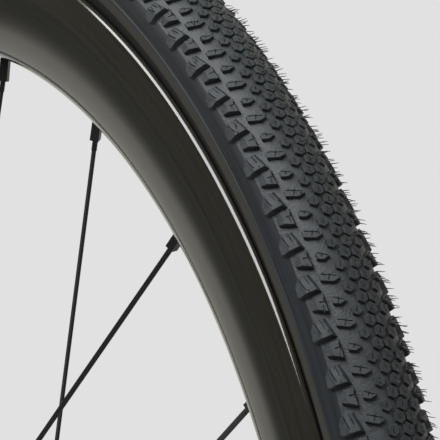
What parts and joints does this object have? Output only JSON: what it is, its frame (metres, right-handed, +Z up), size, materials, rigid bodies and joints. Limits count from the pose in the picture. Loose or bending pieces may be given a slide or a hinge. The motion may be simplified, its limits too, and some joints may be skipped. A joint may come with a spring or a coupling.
{
  "type": "bicycle wheel with tyre",
  "caption": "Front disc-brake bicycle wheel: a knobbly gravel tyre on a deep carbon rim, laced with bladed spokes to a through-axle hub on ball bearings.",
  "frame": {"origin": "centre of the wheel, on its axle, in the tyre's middle plane", "axes": "+Y along the axle towards the brake disc side, +Z up, +X forwards"},
  "size_m": [0.6928, 0.1, 0.6928],
  "materials": {
    "tread_rubber": "matt moulded rubber",
    "belt_fabric": "woven puncture belt",
    "casing_fabric": "rubbered cord plies",
    "liner_rubber": "smooth butyl",
    "sidewall_rubber": "smooth satin rubber",
    "chafer_fabric": "rubbered square weave",
    "bead_aramid": "bundled aramid cord",
    "rim_carbon": "satin lacquered carbon fibre",
    "tape": "glossy film tape",
    "spoke_steel": "satin black coated steel",
    "nipple_alloy": "black anodised",
    "hub_alloy": "black anodised, bead blasted",
    "axle_alloy": "turned",
    "seal_rubber": "smooth",
    "bearing_steel": "ground",
    "cage_plastic": "moulded",
    "valve_alloy": "black anodised",
    "valve_brass": "nickel free turned brass",
    "cap_plastic": "moulded"
  },
  "bodies": {
    "axle": {"axle_tube": "axle_alloy", "end_cap_right": "hub_alloy", "end_cap_left": "hub_alloy", "bearing_inner_race_right": "bearing_steel", "bearing_inner_race_left": "bearing_steel"},
    "wheel": {"tread": "tread_rubber", "shoulder_blocks_right": "tread_rubber", "shoulder_blocks_left": "tread_rubber", "breaker_belt": "belt_fabric", "casing": "casing_fabric", "inner_liner": "liner_rubber", "sidewall_right": "sidewall_rubber", "sidewall_left": "sidewall_rubber", "chafer_right": "chafer_fabric", "chafer_left": "chafer_fabric", "bead_core_right": "bead_aramid", "bead_core_left": "bead_aramid", "rim": "rim_carbon", "rim_tape": "tape", "spokes_right": "spoke_steel", "spokes_left": "spoke_steel", "nipples_right": "nipple_alloy", "nipples_left": "nipple_alloy", "hub_shell": "hub_alloy", "dust_seal_right": "seal_rubber", "dust_seal_left": "seal_rubber", "bearing_seals_right": "seal_rubber", "bearing_seals_left": "seal_rubber", "valve_grommet": "seal_rubber", "bearing_outer_race_right": "bearing_steel", "bearing_outer_race_left": "bearing_steel", "valve_stem": "valve_alloy", "valve_lock_ring": "valve_alloy", "valve_core": "valve_brass"},
    "bearing_cage_right": {"bearing_cage_right": "cage_plastic", "bearing_balls_right": "bearing_steel"},
    "bearing_cage_left": {"bearing_cage_left": "cage_plastic", "bearing_balls_left": "bearing_steel"},
    "valve_cap": {"valve_cap": "cap_plastic"},
    "valve_pin": {"valve_pin": "valve_brass"},
    "valve_pin_nut": {"valve_pin_nut": "valve_brass"}
  },
  "joints": [
    {"name": "wheel_spin", "type": "hinge", "parent": "axle", "child": "wheel", "pos_m": [0, 0, 0], "axis": [0, 1, 0], "continuous": true},
    {"name": "cage_spin_right", "type": "hinge", "parent": "axle", "child": "bearing_cage_right", "pos_m": [0, 0, 0], "axis": [0, 1, 0], "continuous": true},
    {"name": "cage_spin_left", "type": "hinge", "parent": "axle", "child": "bearing_cage_left", "pos_m": [0, 0, 0], "axis": [0, 1, 0], "continuous": true},
    {"name": "valve_cap_off", "type": "slide", "parent": "wheel", "child": "valve_cap", "axis": [0.3252, 0, 0.9456], "range_m": [0, 0.022]},
    {"name": "valve_pin_press", "type": "slide", "parent": "wheel", "child": "valve_pin", "axis": [-0.3252, 0, -0.9456], "range_m": [0, 0.0025], "stiffness_N_per_m": 150},
    {"name": "valve_pin_nut_close", "type": "slide", "parent": "valve_pin", "child": "valve_pin_nut", "axis": [-0.3252, 0, -0.9456], "range_m": [0, 0.0012]}
  ],
  "couplings": [
    {"joint": "cage_spin_right", "follows": "wheel_spin", "ratio": 0.5907},
    {"joint": "cage_spin_left", "follows": "wheel_spin", "ratio": 0.5907}
  ]
}
